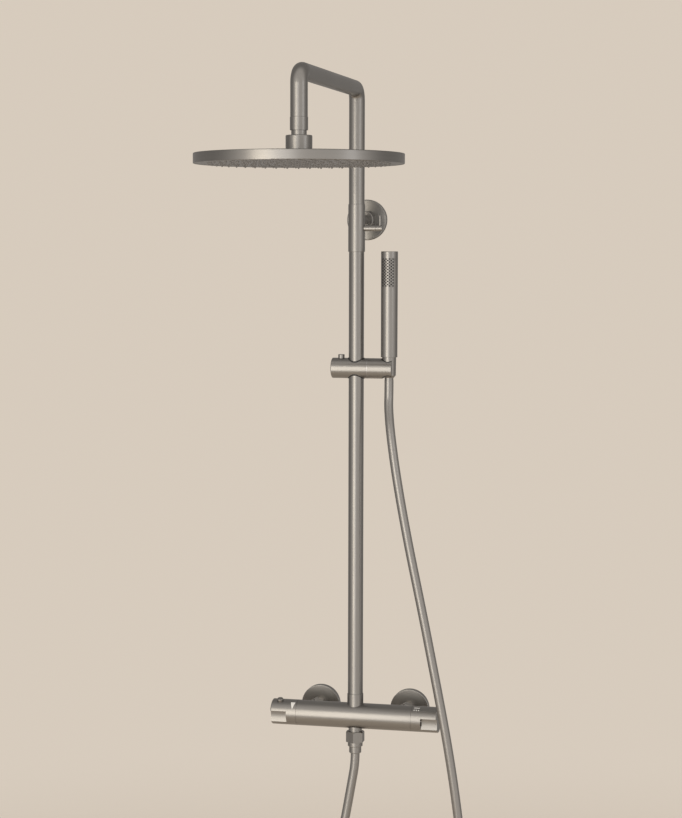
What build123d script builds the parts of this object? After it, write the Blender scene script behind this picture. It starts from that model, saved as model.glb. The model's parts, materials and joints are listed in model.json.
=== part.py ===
from build123d import *

import os
from math import cos, pi, radians, sin, tan

# Wall-mounted rainfall shower column: bar valve, riser, swivelling arm with a rain head,
# and a stick handset on a sliding holder. The wall is the plane Y = 0 and the front is -Y.
# The origin is on the wall, midway between the two water inlets. Millimetres.

os.makedirs("parts", exist_ok=True)

# Driving dimensions
AXIS_Y = -78.0  # the valve's and riser's axis, in front of the wall
INLET_X = 75.0  # half of the 150 mm inlet spacing
REACH = 360.0  # riser axis to rain head axis
ARM_Z = 1003.0  # axis of the arm's level run
ARM_BEND = 18.0  # bend radius of the arm's axis
ARM_R = 12.45
RISER_R = 12.1
TUBE_WALL = 1.25
RUNNING = 0.05  # radial clearance of a turning or sliding fit
SLIP = 0.1  # clearance of pieces that only sit together
PARTING = 0.15  # half of the line between a knob and the valve

BAR_R = 20.5
BAR_HALF = 137.2
KNOB_X = 94.7  # parting line between valve and knob
BORE_R = 15.5  # cartridge bore
BORE_END_X = 42.0
GALLERY_R = 6.5
WEB_X = (112.0, 118.0)  # the web inside a knob
RECESS_X = 110.8  # inner end of the finger recess
RECESS_TOP = 13.0  # degrees above the front
RECESS_LOW = -42.0
RECESS_DEPTH = 4.2
BUTTON_X = -123.5
BUTTON_TILT = 70.0  # stop button, degrees above the front
MARK_X = 101.0
MARK_TILT = 44.0
SPINDLE_R = 4.0

ROSE_R = 32.0
ROSE_DEPTH = 10.0
ROSE_WALL = 2.0
STUD_R = 10.48  # G1/2 male thread
STUD_LENGTH = 14.0
UNION_R = 13.2  # G3/4 male thread

COLLAR_R = 12.9
COLLAR_TOP_Z = 36.4
RISER_BOTTOM_Z = 26.0
RISER_TOP_Z = 766.0

OUTLET_R = 10.8
NUT_TOP_Z = -25.3
NUT_BOTTOM_Z = -42.4
NUT_FLATS = 27.0
FERRULE_END_Z = -60.5
HOSE_R = 7.2

SLEEVE_R = 13.35
SLEEVE_Z = (746.6, 821.8)
ARM_BOTTOM_Z = 770.0
BRACKET_Z = 798.0
BRACKET_ROSE_R = 32.8
BRACKET_ROSE_DEPTH = 7.0
BOSS_R = 14.0
BOSS_Y = -22.0
STEM_R = 7.5
SCREW_HOLE_R = 2.75
LOCK_Z = 783.8
LOCK_R = 4.65
LOCK_X = (31.3, 42.0)  # parting line and end of the lock lever
CLAMP_R = 3.0
PIN_X = 37.8
PIN_R = 1.7
PIN_TOP_Z = 804.0

DROP_END_Z = 922.0
DROP_COLLAR_Z = (918.4, 937.2)
BALL_Z = 899.0
BALL_R = 11.0
STEM_NECK_R = 11.0
HUB_R = 19.0
HUB_TOP_Z = 911.4
HEAD_R = 150.0
HEAD_TOP_Z = 885.5
HEAD_LOW_Z = 871.0
HEAD_WALL = 1.4
PLATE_T = 2.0
NOZZLE_RINGS = 8
NOZZLE_PITCH = 16.0
NOZZLE_BASE_R = 2.3
NOZZLE_TIP_R = 1.1
NOZZLE_DROP = 3.2  # how far a nozzle stands below the face plate

SLIDER_Z = 561.7
SLIDER_R = 16.2
SLIDER_LEFT = -38.8
SLIDER_PARTING = 19.9
HOLDER_END = 60.2
LINER_R = 13.5
LOCK_BUTTON_X = -24.4
LOCK_BUTTON_R = 5.1
LOCK_BUTTON_TOP_Z = 583.5
PIVOT_R = 6.0
HANDSET_X = 53.5
SOCKET_R = 12.6
HANDSET_Z = (580.0, 747.4)
HANDSET_TOP_R = 13.4
HANDSET_LOW_R = 13.15
HANDSET_WALL = 1.6
SPRAY_Z = (692.0, 736.4)
SPRAY_HALF = 9.2
CONE_R = (11.2, 10.75)
CONE_LOW_Z = 551.0
CONE_END_Z = 543.5

UP, DOWN = (0, 0, 1), (0, 0, -1)
LEFT, RIGHT = (-1, 0, 0), (1, 0, 0)
FRONT, BACK = (0, -1, 0), (0, 1, 0)


def column(z):
    return (0, AXIS_Y, z)


def bar(x):
    return (x, AXIS_Y, 0)


def drop(z):
    return (0, AXIS_Y - REACH, z)


def slide(x):
    return (x, AXIS_Y, SLIDER_Z)


def socket(z):
    return (HANDSET_X, AXIS_Y, z)


def around_bar(tilt):
    """Outward direction from the valve's axis, tilt degrees above the front."""
    return (0, -cos(radians(tilt)), sin(radians(tilt)))


def turn(start, direction, points, mode=Mode.ADD):
    """Turns an outline of (radius, distance from start) points about a line."""
    along = Vector(direction)
    out = Vector(0, 0, 1) if abs(along.X) > 0.5 else Vector(1, 0, 0)
    with BuildSketch(Plane(origin=start, x_dir=out, z_dir=out.cross(along))) as outline:
        with BuildLine():
            Polyline(*points, close=True)
        make_face()
    revolve(outline.sketch, axis=Axis(start, direction), mode=mode)


def rod(start, direction, length, radius, mode=Mode.ADD):
    turn(start, direction, [(0, 0), (radius, 0), (radius, length), (0, length)], mode)


def pipe(start, direction, length, outer, inner, mode=Mode.ADD):
    points = [(inner, 0), (outer, 0), (outer, length), (inner, length)]
    turn(start, direction, points, mode)


def end_rims(part, axis, index=-1):
    """The round edges that lie furthest along an axis, or, with index 0, the least far."""
    return part.edges().filter_by(GeomType.CIRCLE).group_by(axis)[index]


def hexagon(start, direction, length, flats):
    """A hexagonal bar along Y or Z, with two of its flats facing left and right."""
    with BuildSketch(Plane(origin=start, x_dir=RIGHT, z_dir=direction)) as outline:
        RegularPolygon(flats / 2, 6, major_radius=False, rotation=30)
    extrude(outline.sketch, amount=length)


def cut_bar(clear=0.02):
    """Cuts away the valve's round bar, so that a piece sits on it as a saddle."""
    rod(bar(-BAR_HALF), RIGHT, 2 * BAR_HALF, BAR_R + clear, Mode.SUBTRACT)


def coil(start, direction, length, radius, wire, turns):
    """A compression spring along a line."""
    along = Vector(direction)
    height = length - 2 * wire
    centre = Vector(start) + along * wire
    with BuildLine() as path:
        Helix(height / turns, height, radius, center=centre, direction=direction)
    with BuildSketch(Plane(origin=path.line @ 0, z_dir=path.line % 0)) as section:
        Circle(wire)
    sweep(section.sketch, path=path.line)


# Valve ---------------------------------------------------------------------------------

BOSS_END_Y = -46.0
INLET_BOSS_R = 11.0
INLET_FLANGE_R = 13.0
INLET_HOLE_R = 7.5
INLET_FLANGE_T = 2.5
INLET_END_Y = AXIS_Y + 8.0
NIPPLE_R = 9.3
NIPPLE_TOP_Z = 32.0
OUTLET_HOLE_R = 9.0
OUTLET_DEPTH = 12.0
OUTLET_PORT_R = 5.5

with BuildPart() as valve_body:
    rod(bar(-KNOB_X + PARTING), RIGHT, 2 * (KNOB_X - PARTING), BAR_R)
    rod(column(0), UP, NIPPLE_TOP_Z, NIPPLE_R)
    for side in (-1, 1):
        inlet = bar(side * INLET_X)
        depth = BOSS_END_Y - AXIS_Y
        rod(inlet, BACK, depth, INLET_BOSS_R)
        flange = (side * INLET_X, BOSS_END_Y - INLET_FLANGE_T, 0)
        rod(flange, BACK, INLET_FLANGE_T, INLET_FLANGE_R)
        rod((side * INLET_X, INLET_END_Y, 0), BACK, depth, INLET_HOLE_R, Mode.SUBTRACT)
    rod(bar(-KNOB_X), RIGHT, KNOB_X - BORE_END_X, BORE_R, Mode.SUBTRACT)
    rod(bar(KNOB_X), LEFT, KNOB_X - BORE_END_X, BORE_R, Mode.SUBTRACT)
    rod(bar(-BORE_END_X), RIGHT, 2 * BORE_END_X, GALLERY_R, Mode.SUBTRACT)
    rod(column(0), UP, NIPPLE_TOP_Z, GALLERY_R, Mode.SUBTRACT)
    rod(column(-BAR_R), UP, OUTLET_DEPTH, OUTLET_HOLE_R, Mode.SUBTRACT)
    rod(column(-BAR_R), UP, BAR_R, OUTLET_PORT_R, Mode.SUBTRACT)
valve_body.part.label = "valve_body"
export_step(valve_body.part, "parts/valve_body.step")

CARTRIDGE_R = BORE_R - SLIP
CARTRIDGE_LENGTH = {"thermostatic": 38.0, "flow": 30.0}
CARTRIDGE_NECK_R = 9.0
SEAL_GROOVE = 2.0  # depth of a seal groove in a cartridge
RING_X = (84.0, 94.0)  # the ring nut in the mouth of a cartridge bore

for name, side in (("thermostatic", -1), ("flow", 1)):
    outward = (side, 0, 0)
    length = CARTRIDGE_LENGTH[name]
    with BuildPart() as cartridge:
        inner_x = RING_X[0] - length
        rod(bar(side * inner_x), outward, length, CARTRIDGE_R)
        for share in (0.25, 0.6):
            groove = bar(side * (inner_x + share * length))
            groove_r = CARTRIDGE_R - SEAL_GROOVE
            pipe(groove, outward, 2 * SEAL_GROOVE, CARTRIDGE_R + 1, groove_r, Mode.SUBTRACT)
        rod(bar(side * RING_X[0]), outward, RING_X[1] - RING_X[0], CARTRIDGE_NECK_R)
        hole = SPINDLE_R + RUNNING
        rod(bar(side * (RING_X[0] - 2)), outward, 12, hole, Mode.SUBTRACT)
    cartridge.part.label = name + "_cartridge"
    export_step(cartridge.part, "parts/" + name + "_cartridge.step")

with BuildPart() as cartridge_ring_nuts:
    for side in (-1, 1):
        length = RING_X[1] - RING_X[0]
        inner_r = CARTRIDGE_NECK_R + SLIP
        pipe(bar(side * RING_X[0]), (side, 0, 0), length, CARTRIDGE_R, inner_r)
cartridge_ring_nuts.part.label = "cartridge_ring_nuts"
export_step(cartridge_ring_nuts.part, "parts/cartridge_ring_nuts.step")

# Wall inlets ----------------------------------------------------------------------------

WASHER_T = 2.0
UNION_END_Y = BOSS_END_Y + WASHER_T
UNION_NUT_Y = (-51.0, -33.0)
UNION_FLATS = 30.0
UNION_TUBE_R = 11.0
UNION_BORE_R = 8.0
UNION_COLLAR_Y = -30.0  # where the union widens into the nut's thread
NUT_LIP = 2.6

with BuildPart() as wall_unions:
    for side in (-1, 1):
        x = side * INLET_X
        rod((x, STUD_LENGTH, 0), FRONT, STUD_LENGTH, STUD_R)
        rod((x, 0, 0), FRONT, -UNION_COLLAR_Y, UNION_TUBE_R)
        rod((x, UNION_COLLAR_Y, 0), FRONT, UNION_COLLAR_Y - UNION_END_Y, UNION_R - RUNNING)
        length = STUD_LENGTH - UNION_END_Y
        rod((x, STUD_LENGTH, 0), FRONT, length, UNION_BORE_R, Mode.SUBTRACT)
wall_unions.part.label = "wall_unions"
export_step(wall_unions.part, "parts/wall_unions.step")

with BuildPart() as union_nuts:
    for side in (-1, 1):
        x = side * INLET_X
        hexagon((x, UNION_NUT_Y[0], 0), BACK, UNION_NUT_Y[1] - UNION_NUT_Y[0], UNION_FLATS)
    chamfer(union_nuts.edges().filter_by(Axis.Y, reverse=True), length=0.8)
    for side in (-1, 1):
        x = side * INLET_X
        rod((x, UNION_NUT_Y[0], 0), BACK, 20, INLET_BOSS_R + SLIP, Mode.SUBTRACT)
        rod((x, BOSS_END_Y - NUT_LIP, 0), BACK, 20, UNION_R, Mode.SUBTRACT)
union_nuts.part.label = "union_nuts"
export_step(union_nuts.part, "parts/union_nuts.step")

VALVE_LENGTH = 11.0
VALVE_HOLE_R = 5.0

with BuildPart() as check_valves:
    for side in (-1, 1):
        start = (side * INLET_X, BOSS_END_Y - VALVE_LENGTH - 1, 0)
        pipe(start, BACK, VALVE_LENGTH, INLET_HOLE_R - SLIP, VALVE_HOLE_R)
        rod(start, BACK, 3, 4.4)
        pipe(start, BACK, 1.2, VALVE_HOLE_R, 4)
check_valves.part.label = "check_valves"
export_step(check_valves.part, "parts/check_valves.step")

with BuildPart() as wall_roses:
    for side in (-1, 1):
        rod((side * INLET_X, 0, 0), FRONT, ROSE_DEPTH, ROSE_R)
    fillet(end_rims(wall_roses, Axis.Y, 0), radius=0.9)
    for side in (-1, 1):
        x = side * INLET_X
        rod((x, 0, 0), FRONT, ROSE_DEPTH - ROSE_WALL, ROSE_R - ROSE_WALL, Mode.SUBTRACT)
        rod((x, 0, 0), FRONT, ROSE_DEPTH, UNION_TUBE_R + SLIP, Mode.SUBTRACT)
wall_roses.part.label = "wall_roses"
export_step(wall_roses.part, "parts/wall_roses.step")

# Knobs ----------------------------------------------------------------------------------

CAP_R = 13.6
CAP_T = 2.4
HUB_BOSS_R = 6.4
HUB_BOSS_END_X = 130.0
SPINDLE_END_X = 120.0
MARK_T = 0.5
BUTTON_R = 5.1
BUTTON_LOW = 11.0  # distances of the stop button's two ends from the valve's axis
BUTTON_TOP = 25.0
SPRING_GAP = 0.5
CAP_SCREW_R = 1.95
CAP_SCREW_HEAD_R = 3.5


def on_button(distance):
    """Point on the stop button's line, at a distance from the valve's axis."""
    return tuple(Vector(bar(BUTTON_X)) + Vector(around_bar(BUTTON_TILT)) * distance)


for name, side in (("temperature", -1), ("flow", 1)):
    outward = (side, 0, 0)

    with BuildPart() as marker:
        mark = Plane(bar(side * MARK_X), x_dir=RIGHT, z_dir=around_bar(MARK_TILT))
        with BuildSketch(mark.offset(BAR_R - 3)):
            if side < 0:
                with BuildLine():
                    Polyline((-4, 6), (4, 6), (0, -7.5), close=True)
                make_face()
            else:
                with Locations((2, 8.5)):
                    SlotOverall(9.5, 1.8)
                with Locations((-1.6, 3.5), (2, 3.5), (5.6, 3.5)):
                    Circle(1.05)
        extrude(amount=6)
        pipe(bar(side * KNOB_X), outward, 20, BAR_R, BAR_R - MARK_T, Mode.INTERSECT)
    marker.part.label = name + "_marker"
    export_step(marker.part, "parts/" + name + "_marker.step")

    with BuildPart() as knob:
        rod(bar(side * (KNOB_X + PARTING)), outward, BAR_HALF - KNOB_X - PARTING, BAR_R)
        fillet(end_rims(knob, Axis.X, -1 if side > 0 else 0), radius=1.6)
        rod(bar(side * KNOB_X), outward, WEB_X[0] - KNOB_X, 17, Mode.SUBTRACT)
        length = BAR_HALF - WEB_X[1]
        pipe(bar(side * WEB_X[1]), outward, length, CAP_R, HUB_BOSS_R, Mode.SUBTRACT)
        rod(bar(side * HUB_BOSS_END_X), outward, 8, CAP_R, Mode.SUBTRACT)
        rod(bar(side * WEB_X[0]), outward, 25, SPINDLE_R, Mode.SUBTRACT)
        top, low = radians(RECESS_TOP), radians(RECESS_LOW)
        floor = BAR_R - RECESS_DEPTH
        inner = (floor * cos(top), floor * sin(top))
        far = (1.6 * BAR_R * cos(top), 1.6 * BAR_R * sin(top))
        runout = ((BAR_R + 0.3) * cos(low), (BAR_R + 0.3) * sin(low))
        middle = (0.5 * (inner[0] + runout[0]) - 1.0, 0.5 * (inner[1] + runout[1]) + 0.4)
        for turned in (0, 180):
            face = Plane(bar(side * RECESS_X), x_dir=FRONT, z_dir=LEFT)
            with BuildSketch(face.rotated((0, 0, turned))):
                with BuildLine():
                    ThreePointArc(runout, middle, inner)
                    Polyline(inner, far, (1.6 * BAR_R, -BAR_R), runout)
                make_face()
            extrude(amount=-side * 30, mode=Mode.SUBTRACT)
        if side < 0:
            hole = BUTTON_R + SLIP
            rod(on_button(BUTTON_LOW), around_bar(BUTTON_TILT), 15, hole, Mode.SUBTRACT)
        add(marker.part, mode=Mode.SUBTRACT)
    knob.part.label = name + "_knob"
    export_step(knob.part, "parts/" + name + "_knob.step")

    with BuildPart() as spindle:
        start = bar(side * (RING_X[0] - 1))
        rod(start, outward, SPINDLE_END_X - RING_X[0] + 1, SPINDLE_R)
        rod(bar(side * SPINDLE_END_X), (-side, 0, 0), 10, CAP_SCREW_R + RUNNING, Mode.SUBTRACT)
    spindle.part.label = name + "_spindle"
    export_step(spindle.part, "parts/" + name + "_spindle.step")

    with BuildPart() as screw:
        rod(bar(side * (SPINDLE_END_X - 9)), outward, 9, CAP_SCREW_R)
        rod(bar(side * SPINDLE_END_X), outward, 2.6, CAP_SCREW_HEAD_R)
        rod(bar(side * (SPINDLE_END_X + 1.2)), outward, 2, 1.3, Mode.SUBTRACT)
    screw.part.label = name + "_screw"
    export_step(screw.part, "parts/" + name + "_screw.step")

    with BuildPart() as cap:
        rod(bar(side * (BAR_HALF - CAP_T)), outward, CAP_T, CAP_R - SLIP)
        fillet(end_rims(cap, Axis.X, -1 if side > 0 else 0), radius=0.4)
    cap.part.label = name + "_cap"
    export_step(cap.part, "parts/" + name + "_cap.step")

with BuildPart() as stop_button:
    length = BUTTON_TOP - BUTTON_LOW
    crown = [(BUTTON_R, length - 1.4), (BUTTON_R - 0.9, length - 0.5), (2.4, length)]
    outline = [(0, 0), (BUTTON_R, 0)] + crown + [(0, length)]
    turn(on_button(BUTTON_LOW), around_bar(BUTTON_TILT), outline)
stop_button.part.label = "stop_button"
export_step(stop_button.part, "parts/stop_button.step")

with BuildPart() as stop_spring:
    length = BUTTON_LOW - HUB_BOSS_R - 2 * SPRING_GAP
    coil(on_button(HUB_BOSS_R + SPRING_GAP), around_bar(BUTTON_TILT), length, 3.0, 0.3, 3)
stop_spring.part.label = "stop_spring"
export_step(stop_spring.part, "parts/stop_spring.step")

# Outlet and hose end ----------------------------------------------------------------------

THREAD_R = 10.2

with BuildPart() as outlet_nipple:
    rod(column(-12), DOWN, -12 - NUT_TOP_Z, OUTLET_R)
    cut_bar()
    rod(column(-9), DOWN, 15, OUTLET_HOLE_R - SLIP)
    rod(column(-22), DOWN, 15, THREAD_R)
    rod(column(-8), DOWN, 30, 6, Mode.SUBTRACT)
outlet_nipple.part.label = "outlet_nipple"
export_step(outlet_nipple.part, "parts/outlet_nipple.step")

with BuildPart() as hose_nut:
    hexagon(column(NUT_TOP_Z), DOWN, NUT_TOP_Z - NUT_BOTTOM_Z, NUT_FLATS)
    nut_height = NUT_TOP_Z - NUT_BOTTOM_Z
    corner_r = NUT_FLATS / 2 / cos(pi / 6)
    top_cone = [(0, 0), (NUT_FLATS / 2, 0), (corner_r + 0.1, 1.8)]
    low_cone = [(corner_r + 0.1, nut_height - 0.6), (corner_r - 0.6, nut_height), (0, nut_height)]
    turn(column(NUT_TOP_Z), DOWN, top_cone + low_cone, Mode.INTERSECT)
    rod(column(NUT_TOP_Z), DOWN, 14.2, THREAD_R + RUNNING, Mode.SUBTRACT)
    rod(column(NUT_TOP_Z), DOWN, nut_height, OUTLET_HOLE_R + SLIP, Mode.SUBTRACT)
hose_nut.part.label = "hose_nut"
export_step(hose_nut.part, "parts/hose_nut.step")

with BuildPart() as sealing_washers:
    pipe(column(-37), DOWN, WASHER_T, THREAD_R - SLIP, 5.5)
    for side in (-1, 1):
        pipe((side * INLET_X, BOSS_END_Y, 0), BACK, WASHER_T, 12.8, UNION_BORE_R)
sealing_washers.part.label = "sealing_washers"
export_step(sealing_washers.part, "parts/sealing_washers.step")

with BuildPart() as hose_ferrule:
    tail = [(5, -39), (OUTLET_HOLE_R, -39), (OUTLET_HOLE_R, NUT_BOTTOM_Z), (12, NUT_BOTTOM_Z)]
    steps = [(12, -49), (11.2, -49.8), (9.8, -49.8), (9.8, -59.9), (9.2, FERRULE_END_Z)]
    outline = tail + steps + [(5, FERRULE_END_Z)]
    turn(column(0), DOWN, [(radius, -z) for radius, z in outline])
hose_ferrule.part.label = "hose_ferrule"
export_step(hose_ferrule.part, "parts/hose_ferrule.step")

# Shower hose: 1.5 m, from the valve's ferrule down, round a hanging loop and up to the handset.

HOSE_ROUTE = [
    (0, -78, -60.5),
    (0, -78, -78),
    (-5.5, -78.5, -110),
    (-16, -80, -171),
    (-29, -83, -235),
    (-37, -87, -302),
    (-29, -91, -368),
    (6, -95, -418),
    (62, -99, -440),
    (123, -103, -426),
    (168, -106, -379),
    (187, -109, -312),
    (187, -111, -240),
    (178, -112, -165),
    (168, -113, -90),
    (154.5, -113.5, -10),
    (137.5, -114, 76),
    (116, -114, 182),
    (92, -113, 292),
    (73, -110, 391),
    (61, -100, 460),
    (54, -83.5, 500),
    (53.5, -78, 521),
    (53.5, -78, 543.5),
]


def corner_radii(route):
    """The largest even arc at each corner: 0.45 of the shorter run over tan of half the turn."""
    points = [Vector(*point) for point in route]
    radii = []
    for before, here, after in zip(points, points[1:], points[2:]):
        run = min((here - before).length, (after - here).length)
        half_turn = radians((here - before).get_angle(after - here)) / 2
        radii.append(0.45 * run / tan(half_turn))
    return radii


with BuildPart() as shower_hose:
    hose_radii = corner_radii(HOSE_ROUTE)
    with BuildLine() as hose_path:
        FilletPolyline(*HOSE_ROUTE, radius=hose_radii)
    with BuildSketch(Plane(origin=HOSE_ROUTE[0], z_dir=hose_path.line % 0)):
        Circle(HOSE_R)
    sweep(path=hose_path.line)
shower_hose.part.label = "shower_hose"
export_step(shower_hose.part, "parts/shower_hose.step")
print("hose radii, mm:", [round(radius) for radius in hose_radii])
hose_length = sum(edge.length for edge in hose_path.edges())
hose_volume = pi * HOSE_R**2 * hose_length
print("hose length, mm:", round(hose_length, 1))
print("hose volume over section times length:", round(shower_hose.part.volume / hose_volume, 4))

# Riser --------------------------------------------------------------------------------------

with BuildPart() as riser_collar:
    rod(column(10), UP, COLLAR_TOP_Z - 10, COLLAR_R)
    cut_bar()
    chamfer(riser_collar.edges().group_by(Axis.Z)[-1], length=0.4)
    rod(column(10), UP, RISER_BOTTOM_Z - 10, NIPPLE_R + SLIP, Mode.SUBTRACT)
    rod(column(RISER_BOTTOM_Z), UP, 20, RISER_R + SLIP / 4, Mode.SUBTRACT)
riser_collar.part.label = "riser_collar"
export_step(riser_collar.part, "parts/riser_collar.step")

with BuildPart() as riser_tube:
    length = RISER_TOP_Z - RISER_BOTTOM_Z
    pipe(column(RISER_BOTTOM_Z), UP, length, RISER_R, RISER_R - TUBE_WALL)
riser_tube.part.label = "riser_tube"
export_step(riser_tube.part, "parts/riser_tube.step")

# Upper bracket ------------------------------------------------------------------------------

SPIGOT_R = RISER_R - TUBE_WALL - SLIP
SPIGOT_Z = (740.0, 812.0)
SPIGOT_SEALS_Z = (795.0, 803.0)
PLATE_R = 24.0
PLATE_HUB_R = 9.0
GRUB_R = 2.0
GRUB_Y = -12.0

with BuildPart() as bracket_sleeve:
    length = SLEEVE_Z[1] - SLEEVE_Z[0]
    edge = 0.35
    outline = [(0, 0), (SLEEVE_R - edge, 0), (SLEEVE_R, edge), (SLEEVE_R, length - edge)]
    turn(column(SLEEVE_Z[0]), UP, outline + [(SLEEVE_R - edge, length), (0, length)])
    rod(column(SLEEVE_Z[0]), UP, length, RISER_R + SLIP / 4, Mode.SUBTRACT)
    rod(column(ARM_BOTTOM_Z - 2), UP, length, ARM_R + RUNNING, Mode.SUBTRACT)
    rod(column(LOCK_Z), RIGHT, 20, CLAMP_R + RUNNING, Mode.SUBTRACT)
bracket_sleeve.part.label = "bracket_sleeve"
export_step(bracket_sleeve.part, "parts/bracket_sleeve.step")

with BuildPart() as arm_spigot:
    length = SPIGOT_Z[1] - SPIGOT_Z[0]
    pipe(column(SPIGOT_Z[0]), UP, length, SPIGOT_R, SPIGOT_R - 1.6)
    for z in SPIGOT_SEALS_Z:
        pipe(column(z), UP, 2.2, SPIGOT_R + 1, SPIGOT_R - 0.9, Mode.SUBTRACT)
arm_spigot.part.label = "arm_spigot"
export_step(arm_spigot.part, "parts/arm_spigot.step")

with BuildPart() as tube_seals:
    inner_r = RISER_R - TUBE_WALL - RUNNING
    pipe(column(RISER_BOTTOM_Z + 1), UP, 2.2, inner_r, NIPPLE_R + RUNNING)
    for z in SPIGOT_SEALS_Z:
        pipe(column(z + 0.1), UP, 2, ARM_R - TUBE_WALL - RUNNING, SPIGOT_R - 0.85)
tube_seals.part.label = "tube_seals"
export_step(tube_seals.part, "parts/tube_seals.step")

wall_point = (0, 0, BRACKET_Z)

with BuildPart() as bracket_plate:
    rod(wall_point, FRONT, 3, PLATE_R)
    rod(wall_point, FRONT, 18, PLATE_HUB_R)
    rod(wall_point, FRONT, 18, SCREW_HOLE_R, Mode.SUBTRACT)
    rod((0, -8, BRACKET_Z), FRONT, 12, 5.5, Mode.SUBTRACT)
bracket_plate.part.label = "bracket_plate"
export_step(bracket_plate.part, "parts/bracket_plate.step")

with BuildPart() as bracket_rose:
    depth = BRACKET_ROSE_DEPTH
    rod(wall_point, FRONT, depth, BRACKET_ROSE_R)
    fillet(end_rims(bracket_rose, Axis.Y, 0), radius=1.8)
    rod(wall_point, FRONT, 4.6, PLATE_R + 2, Mode.SUBTRACT)
    rod(wall_point, FRONT, depth, PLATE_HUB_R + SLIP, Mode.SUBTRACT)
bracket_rose.part.label = "bracket_rose"
export_step(bracket_rose.part, "parts/bracket_rose.step")

with BuildPart() as bracket_stem:
    boss_start = (0, -BRACKET_ROSE_DEPTH, BRACKET_Z)
    rod(boss_start, FRONT, -BOSS_Y - BRACKET_ROSE_DEPTH, BOSS_R)
    fillet(end_rims(bracket_stem, Axis.Y, 0), radius=1.2)
    rod((0, BOSS_Y, BRACKET_Z), FRONT, BOSS_Y - AXIS_Y, STEM_R)
    rod(column(SLEEVE_Z[0]), UP, 100, SLEEVE_R + 0.02, Mode.SUBTRACT)
    rod(boss_start, FRONT, 12, PLATE_HUB_R + SLIP, Mode.SUBTRACT)
    rod((0, GRUB_Y, BRACKET_Z), DOWN, 20, GRUB_R, Mode.SUBTRACT)
bracket_stem.part.label = "bracket_stem"
export_step(bracket_stem.part, "parts/bracket_stem.step")

with BuildPart() as bracket_grub_screw:
    rod((0, GRUB_Y, BRACKET_Z - PLATE_HUB_R - 0.02), DOWN, 4.5, GRUB_R - SLIP / 2)
bracket_grub_screw.part.label = "bracket_grub_screw"
export_step(bracket_grub_screw.part, "parts/bracket_grub_screw.step")

# Arm lock -----------------------------------------------------------------------------------

with BuildPart() as lock_boss:
    rod(column(LOCK_Z), RIGHT, LOCK_X[0] - PARTING, LOCK_R)
    rod(column(SLEEVE_Z[0]), UP, 100, SLEEVE_R + 0.02, Mode.SUBTRACT)
    rod(column(LOCK_Z), RIGHT, LOCK_X[1], CLAMP_R + RUNNING, Mode.SUBTRACT)
lock_boss.part.label = "lock_boss"
export_step(lock_boss.part, "parts/lock_boss.step")

with BuildPart() as clamp_screw:
    tip_x = ARM_R + 0.3
    rod((tip_x, AXIS_Y, LOCK_Z), RIGHT, LOCK_X[0] + 4 - tip_x, CLAMP_R)
clamp_screw.part.label = "clamp_screw"
export_step(clamp_screw.part, "parts/clamp_screw.step")

with BuildPart() as lock_lever:
    rod((LOCK_X[0] + PARTING, AXIS_Y, LOCK_Z), RIGHT, LOCK_X[1] - LOCK_X[0] - PARTING, LOCK_R)
    fillet(end_rims(lock_lever, Axis.X), radius=0.6)
    rod(column(LOCK_Z), RIGHT, LOCK_X[0] + 4, CLAMP_R, Mode.SUBTRACT)
    rod((PIN_X, AXIS_Y, LOCK_Z + 1), UP, 10, PIN_R, Mode.SUBTRACT)
lock_lever.part.label = "lock_lever"
export_step(lock_lever.part, "parts/lock_lever.step")

with BuildPart() as lock_pin:
    rod((PIN_X, AXIS_Y, LOCK_Z + 1), UP, PIN_TOP_Z - LOCK_Z - 1, PIN_R)
    fillet(end_rims(lock_pin, Axis.Z), radius=0.6)
lock_pin.part.label = "lock_pin"
export_step(lock_pin.part, "parts/lock_pin.step")

# Arm ----------------------------------------------------------------------------------------

with BuildPart() as arm_tube:
    with BuildLine() as arm_path:
        route = [column(ARM_BOTTOM_Z), column(ARM_Z), drop(ARM_Z), drop(DROP_END_Z)]
        FilletPolyline(*route, radius=ARM_BEND)
    with BuildSketch(Plane(column(ARM_BOTTOM_Z))):
        Circle(ARM_R)
        Circle(ARM_R - TUBE_WALL, mode=Mode.SUBTRACT)
    sweep(path=arm_path.line)
arm_tube.part.label = "arm_tube"
export_step(arm_tube.part, "parts/arm_tube.step")

JOURNAL_R = 9.0
JOURNAL_HOLE_Z = DROP_END_Z - SLIP

with BuildPart() as arm_end_collar:
    length = DROP_COLLAR_Z[1] - DROP_COLLAR_Z[0]
    outline = [(0, 0), (COLLAR_R, 0), (COLLAR_R, length - 0.4), (COLLAR_R - 0.35, length)]
    turn(drop(DROP_COLLAR_Z[0]), UP, outline + [(0, length)])
    rod(drop(JOURNAL_HOLE_Z), UP, 20, ARM_R + SLIP / 4, Mode.SUBTRACT)
    rod(drop(DROP_COLLAR_Z[0]), UP, 20, JOURNAL_R + RUNNING, Mode.SUBTRACT)
arm_end_collar.part.label = "arm_end_collar"
export_step(arm_end_collar.part, "parts/arm_end_collar.step")

with BuildPart() as ball_stem:
    top = [(5, 934), (10.8, 934), (10.8, JOURNAL_HOLE_Z + SLIP), (JOURNAL_R, JOURNAL_HOLE_Z + SLIP)]
    neck = [(JOURNAL_R, 918.3), (STEM_NECK_R, 918.3), (STEM_NECK_R, 911.8), (7.2, 907.3)]
    turn(drop(0), UP, top + neck + [(7.2, BALL_Z), (5, BALL_Z)])
    with Locations(drop(BALL_Z)):
        Sphere(BALL_R)
    rod(drop(BALL_Z - 20), UP, 60, 5, Mode.SUBTRACT)
ball_stem.part.label = "ball_stem"
export_step(ball_stem.part, "parts/ball_stem.step")

# Rain head ----------------------------------------------------------------------------------

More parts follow.
